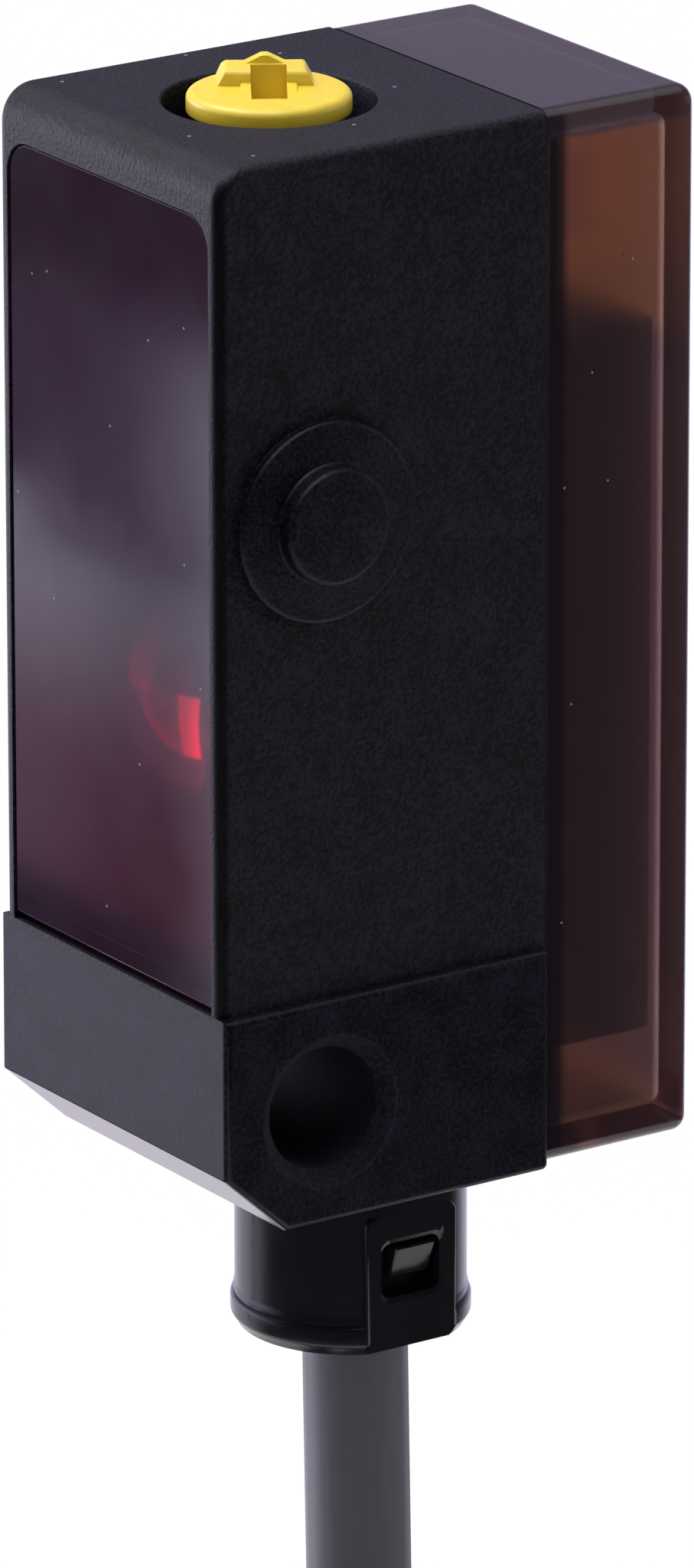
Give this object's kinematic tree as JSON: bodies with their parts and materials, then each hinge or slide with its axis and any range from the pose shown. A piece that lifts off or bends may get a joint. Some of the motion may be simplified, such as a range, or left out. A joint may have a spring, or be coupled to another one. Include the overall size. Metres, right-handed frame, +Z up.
{
  "type": "photoelectric sensor",
  "caption": "Miniature through-beam photoelectric receiver: black housing, smoked front window and rear cover, yellow sensitivity adjuster, snap-in gland and fixed cable in a tied hank.",
  "frame": {"origin": "point on the flat side of the foot block that bears on a bracket, level with the fixing hole and 8.2 mm behind the window face", "axes": "-X out of that side towards the bracket, +Y from the window to the rear cover, +Z up towards the adjuster"},
  "size_m": [0.0167, 0.0447, 0.1792],
  "materials": {
    "housing_black": "finely textured moulding",
    "smoked_red": "polished smoked red plastic",
    "smoked_brown": "polished smoked brown plastic",
    "seal_rubber": "moulded rubber",
    "inner_black": "dull moulding",
    "clear_plastic": "polished clear plastic",
    "red_filter": "polished red filter",
    "chip_black": "moulded package",
    "tin_plate": "tinned metal",
    "board_green": "solder resist on laminate",
    "ceramic": "ceramic chip",
    "led_yellow": "diffuse lens",
    "led_green": "diffuse lens",
    "trimmer_blue": "moulded trimmer body",
    "rotor_white": "moulded rotor",
    "adjuster_yellow": "satin moulding",
    "gland_black": "polished moulding",
    "sheath_grey": "extruded sheath",
    "core_brown": "core insulation",
    "core_white": "core insulation",
    "core_blue": "core insulation",
    "core_black": "core insulation"
  },
  "bodies": {
    "sensor": {"housing": "housing_black", "front_window": "smoked_red", "rear_cover": "smoked_brown", "cover_seal": "seal_rubber", "optics_carrier": "inner_black", "receiver_lens": "clear_plastic", "aperture_plate": "inner_black", "daylight_filter": "red_filter", "photodiode": "chip_black", "shield_can": "tin_plate", "circuit_board": "board_green", "board_tray": "inner_black", "signal_chip": "chip_black", "output_driver": "chip_black", "capacitor_left": "ceramic", "capacitor_right": "ceramic", "resistor_left": "ceramic", "resistor_right": "ceramic", "switching_led": "led_yellow", "power_led": "led_green", "light_guide": "clear_plastic", "potentiometer": "trimmer_blue", "potentiometer_pin_left": "tin_plate", "potentiometer_pin_middle": "tin_plate", "potentiometer_pin_right": "tin_plate", "adjuster_seal": "seal_rubber", "cable_gland": "gland_black", "cable_clamp": "gland_black", "cable_seal": "seal_rubber", "lead_brown": "core_brown", "lead_white": "core_white", "lead_blue": "core_blue", "lead_black": "core_black", "cable": "sheath_grey", "cable_hank": "sheath_grey", "hank_tie": "gland_black", "cable_tail": "sheath_grey", "core_brown": "core_brown", "core_white": "core_white", "core_blue": "core_blue", "core_black": "core_black", "tinned_tip_brown": "tin_plate", "tinned_tip_white": "tin_plate", "tinned_tip_blue": "tin_plate", "tinned_tip_black": "tin_plate"},
    "adjuster": {"adjuster": "adjuster_yellow", "potentiometer_rotor": "rotor_white"}
  },
  "joints": [
    {"name": "adjuster_turn", "type": "hinge", "parent": "sensor", "child": "adjuster", "pos_m": [0.00602, -0.00263, 0.02861], "axis": [0, 0, 1], "range_deg": [-135, 135]}
  ]
}
